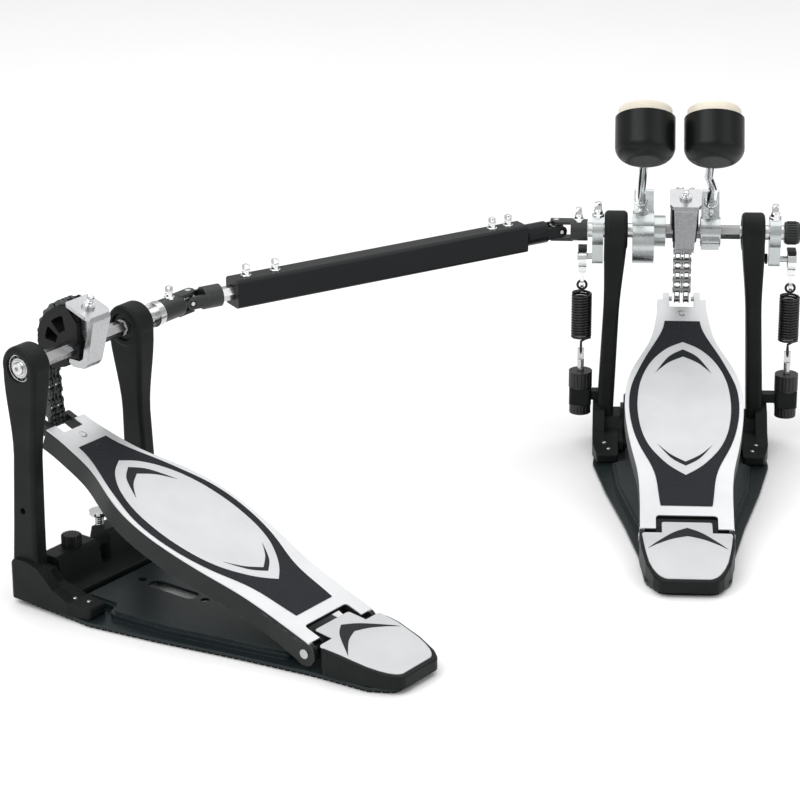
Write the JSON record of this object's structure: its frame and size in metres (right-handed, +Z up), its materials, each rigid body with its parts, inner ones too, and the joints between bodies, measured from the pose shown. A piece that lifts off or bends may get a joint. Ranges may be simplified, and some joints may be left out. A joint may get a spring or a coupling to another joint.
{
  "type": "double bass drum pedal",
  "caption": "Twin bass drum pedal: a main pedal and a slave pedal drive side-by-side beaters through chain cams and a telescoping shaft with universal joints.",
  "frame": {"origin": "underside of the main pedal's rubber pad, directly below its axle on the pedal's centreline", "axes": "+Z up, +Y towards the drum, +X to the player's right along the main axle"},
  "size_m": [0.5841, 0.509, 0.3189],
  "materials": {
    "base_plate_paint": "satin dark blue-grey paint",
    "pad_rubber": "matte ribbed",
    "black_casting": "matte black powder coat",
    "bearing_steel": "turned",
    "heel_black": "satin black casting",
    "pin_steel": "turned",
    "board_silver": "satin",
    "grip_leather": "fine pebble grain",
    "cam_plastic": "moulded",
    "bracket_silver": "satin",
    "chain_steel": "oiled",
    "chain_dark": "dark oiled",
    "cross_steel": "ground",
    "shaft_steel": "ground",
    "tension_black": "matte black",
    "knob_plastic": "ribbed",
    "clamp_black": "satin black",
    "knob_silver": "polished",
    "spring_black": "black oxide",
    "hanger_chrome": "polished",
    "rocker_silver": "satin",
    "holder_silver": "satin",
    "rod_chrome": "polished",
    "beater_black": "satin gloss",
    "beater_felt": "pressed felt",
    "tube_black": "satin black extrusion",
    "rod_steel": "bright hexagon bar"
  },
  "bodies": {
    "base": {"main_base_plate": "base_plate_paint", "main_base_pad": "pad_rubber", "main_front_block": "black_casting", "main_posts": "black_casting", "main_bearings": "bearing_steel", "main_heel": "heel_black", "main_heel_pin": "pin_steel", "spring_lugs": "black_casting", "tension_rods": "tension_black", "block_knob": "knob_plastic"},
    "clamp_jaw": {"hoop_clamp_jaw": "clamp_black"},
    "clamp_screw": {"hoop_clamp_knob": "knob_silver"},
    "main_board": {"main_footboard": "board_silver", "main_grip": "grip_leather"},
    "main_axle": {"main_shaft": "shaft_steel", "main_cam": "cam_plastic", "main_cam_bracket": "bracket_silver", "main_chain_top": "chain_steel", "right_beater_holder": "holder_silver", "right_beater_rod": "rod_chrome", "right_beater_shell": "beater_black", "right_beater_felt": "beater_felt", "right_rocker": "rocker_silver"},
    "left_axle": {"left_shaft": "shaft_steel", "left_beater_holder": "holder_silver", "left_beater_rod": "rod_chrome", "left_beater_shell": "beater_black", "left_beater_felt": "beater_felt", "left_rocker": "rocker_silver"},
    "tube": {"drive_tube": "tube_black"},
    "main_cross_body": {"main_cross": "cross_steel"},
    "right_spring_body": {"right_spring": "spring_black"},
    "right_hanger_body": {"right_hanger": "hanger_chrome"},
    "left_spring_body": {"left_spring": "spring_black"},
    "left_hanger_body": {"left_hanger": "hanger_chrome"},
    "slave_base": {"slave_base_plate": "base_plate_paint", "slave_base_pad": "pad_rubber", "slave_front_block": "black_casting", "slave_posts": "black_casting", "slave_bearings": "bearing_steel", "slave_heel": "heel_black", "slave_heel_pin": "pin_steel"},
    "slave_board": {"slave_footboard": "board_silver", "slave_grip": "grip_leather"},
    "slave_axle": {"slave_shaft": "shaft_steel", "slave_cam": "cam_plastic", "slave_cam_bracket": "bracket_silver", "slave_chain_top": "chain_dark"},
    "rod": {"drive_rod": "rod_steel"},
    "slave_cross_body": {"slave_cross": "cross_steel"},
    "main_link_body_1": {"main_link_1": "chain_steel"},
    "main_link_body_2": {"main_link_2": "chain_steel"},
    "main_link_body_3": {"main_link_3": "chain_steel"},
    "main_link_body_4": {"main_link_4": "chain_steel"},
    "main_run": {"main_chain_run": "chain_steel"},
    "slave_link_body_1": {"slave_link_1": "chain_dark"},
    "slave_link_body_2": {"slave_link_2": "chain_dark"},
    "slave_link_body_3": {"slave_link_3": "chain_dark"},
    "slave_link_body_4": {"slave_link_4": "chain_dark"},
    "slave_run": {"slave_chain_run": "chain_dark"}
  },
  "joints": [
    {"name": "main_footboard_hinge", "type": "hinge", "parent": "base", "child": "main_board", "pos_m": [0, -0.2334, 0.0156], "axis": [-1, 0, 0], "range_deg": [0, 6.13], "stiffness_Nm_per_rad": 60, "springref_deg": -1.15},
    {"name": "main_axle_spin", "type": "hinge", "parent": "base", "child": "main_axle", "pos_m": [0, 0, 0.18], "axis": [-1, 0, 0], "range_deg": [0, 50.79]},
    {"name": "slave_slide", "type": "slide", "parent": "base", "child": "slave_base", "axis": [-0.8252, -0.5648, 0], "range_m": [-0.008, 0.06]},
    {"name": "slave_footboard_hinge", "type": "hinge", "parent": "slave_base", "child": "slave_board", "pos_m": [-0.24746, -0.41485, 0.0156], "axis": [-0.5589, -0.8292, 0], "range_deg": [0, 6.13], "stiffness_Nm_per_rad": 60, "springref_deg": -1.15},
    {"name": "slave_axle_spin", "type": "hinge", "parent": "slave_base", "child": "slave_axle", "pos_m": [-0.441, -0.2844, 0.18], "axis": [-0.5589, -0.8292, 0], "range_deg": [0, 50.79]},
    {"name": "rod_spin", "type": "hinge", "parent": "slave_base", "child": "rod", "pos_m": [-0.37505, -0.18655, 0.18], "axis": [-0.8252, -0.5648, 0], "range_deg": [0, 48.72]},
    {"name": "tube_spin", "type": "hinge", "parent": "base", "child": "tube", "pos_m": [-0.1025, 0, 0.18], "axis": [-0.8252, -0.5648, 0], "range_deg": [0, 48.72]},
    {"name": "left_axle_spin", "type": "hinge", "parent": "base", "child": "left_axle", "pos_m": [0, 0, 0.18], "axis": [-1, 0, 0], "range_deg": [0, 54.11]},
    {"name": "main_cross_turn", "type": "hinge", "parent": "left_axle", "child": "main_cross_body", "pos_m": [-0.1025, 0, 0.18], "axis": [0, 0, -1], "range_deg": [0, 12.48]},
    {"name": "slave_cross_turn", "type": "hinge", "parent": "slave_axle", "child": "slave_cross_body", "pos_m": [-0.37505, -0.18655, 0.18], "axis": [0, 0, 1], "range_deg": [0, 7.54]},
    {"name": "right_spring_swing", "type": "hinge", "parent": "base", "child": "right_spring_body", "pos_m": [0.086, 0, 0.079], "axis": [1, 0, 0], "range_deg": [0, 11.11], "deforming": ["right_spring"]},
    {"name": "right_hanger_slide", "type": "slide", "parent": "right_spring_body", "child": "right_hanger_body", "axis": [0, 0, 1], "range_m": [0, 0.00973]},
    {"name": "left_spring_swing", "type": "hinge", "parent": "base", "child": "left_spring_body", "pos_m": [-0.081, 0, 0.079], "axis": [1, 0, 0], "range_deg": [0, 11.48], "deforming": ["left_spring"]},
    {"name": "left_hanger_slide", "type": "slide", "parent": "left_spring_body", "child": "left_hanger_body", "axis": [0, 0, 1], "range_m": [0, 0.01087]},
    {"name": "main_chain_fold_1", "type": "hinge", "parent": "main_axle", "child": "main_link_body_1", "pos_m": [0, 0.01937, 0.20547], "axis": [1, 0, 0], "range_deg": [0, 7.23]},
    {"name": "main_chain_fold_2", "type": "hinge", "parent": "main_link_body_1", "child": "main_link_body_2", "pos_m": [0, 0.02508, 0.19987], "axis": [1, 0, 0], "range_deg": [0, 14.44]},
    {"name": "main_chain_fold_3", "type": "hinge", "parent": "main_link_body_2", "child": "main_link_body_3", "pos_m": [0, 0.02923, 0.19303], "axis": [1, 0, 0], "range_deg": [0, 14.44]},
    {"name": "main_chain_fold_4", "type": "hinge", "parent": "main_link_body_3", "child": "main_link_body_4", "pos_m": [0, 0.03155, 0.18537], "axis": [1, 0, 0], "range_deg": [0, 14.44]},
    {"name": "main_chain_fold_5", "type": "hinge", "parent": "main_link_body_4", "child": "main_run", "pos_m": [0, 0.03189, 0.17738], "axis": [1, 0, 0], "range_deg": [0, 7.23]},
    {"name": "slave_chain_fold_1", "type": "hinge", "parent": "slave_axle", "child": "slave_link_body_1", "pos_m": [-0.45706, -0.27357, 0.20547], "axis": [0.5589, 0.8292, 0], "range_deg": [0, 7.23]},
    {"name": "slave_chain_fold_2", "type": "hinge", "parent": "slave_link_body_1", "child": "slave_link_body_2", "pos_m": [-0.4618, -0.27038, 0.19987], "axis": [0.5589, 0.8292, 0], "range_deg": [0, 14.44]},
    {"name": "slave_chain_fold_3", "type": "hinge", "parent": "slave_link_body_2", "child": "slave_link_body_3", "pos_m": [-0.46524, -0.26806, 0.19303], "axis": [0.5589, 0.8292, 0], "range_deg": [0, 14.44]},
    {"name": "slave_chain_fold_4", "type": "hinge", "parent": "slave_link_body_3", "child": "slave_link_body_4", "pos_m": [-0.46716, -0.26677, 0.18537], "axis": [0.5589, 0.8292, 0], "range_deg": [0, 14.44]},
    {"name": "slave_chain_fold_5", "type": "hinge", "parent": "slave_link_body_4", "child": "slave_run", "pos_m": [-0.46745, -0.26658, 0.17738], "axis": [0.5589, 0.8292, 0], "range_deg": [0, 7.23]},
    {"name": "clamp_jaw_hinge", "type": "hinge", "parent": "base", "child": "clamp_jaw", "pos_m": [0, 0.002, 0.029], "axis": [-1, 0, 0], "range_deg": [0, 8]},
    {"name": "clamp_screw_travel", "type": "slide", "parent": "base", "child": "clamp_screw", "axis": [0, 0, -1], "range_m": [0, 0.0016]}
  ],
  "couplings": [
    {"joint": "main_axle_spin", "follows": "main_footboard_hinge", "ratio": 8.2555},
    {"joint": "slave_axle_spin", "follows": "slave_footboard_hinge", "ratio": 8.2555},
    {"joint": "rod_spin", "follows": "slave_footboard_hinge", "ratio": 7.9184},
    {"joint": "tube_spin", "follows": "slave_footboard_hinge", "ratio": 7.9184},
    {"joint": "left_axle_spin", "follows": "slave_footboard_hinge", "ratio": 8.7945},
    {"joint": "main_cross_turn", "follows": "slave_footboard_hinge", "ratio": 2.0265},
    {"joint": "slave_cross_turn", "follows": "slave_footboard_hinge", "ratio": 1.2234},
    {"joint": "right_spring_swing", "follows": "main_footboard_hinge", "ratio": 1.8036},
    {"joint": "right_hanger_slide", "follows": "main_footboard_hinge", "m_per_rad": 0.090454},
    {"joint": "left_spring_swing", "follows": "slave_footboard_hinge", "ratio": 1.863},
    {"joint": "left_hanger_slide", "follows": "slave_footboard_hinge", "m_per_rad": 0.10106},
    {"joint": "main_chain_fold_1", "follows": "main_footboard_hinge", "ratio": 1.1722},
    {"joint": "main_chain_fold_2", "follows": "main_footboard_hinge", "ratio": 2.3445},
    {"joint": "main_chain_fold_3", "follows": "main_footboard_hinge", "ratio": 2.3445},
    {"joint": "main_chain_fold_4", "follows": "main_footboard_hinge", "ratio": 2.3445},
    {"joint": "main_chain_fold_5", "follows": "main_footboard_hinge", "ratio": 1.1722},
    {"joint": "slave_chain_fold_1", "follows": "slave_footboard_hinge", "ratio": 1.1722},
    {"joint": "slave_chain_fold_2", "follows": "slave_footboard_hinge", "ratio": 2.3445},
    {"joint": "slave_chain_fold_3", "follows": "slave_footboard_hinge", "ratio": 2.3445},
    {"joint": "slave_chain_fold_4", "follows": "slave_footboard_hinge", "ratio": 2.3445},
    {"joint": "slave_chain_fold_5", "follows": "slave_footboard_hinge", "ratio": 1.1722},
    {"joint": "clamp_screw_travel", "follows": "clamp_jaw_hinge", "m_per_rad": 0.01}
  ]
}
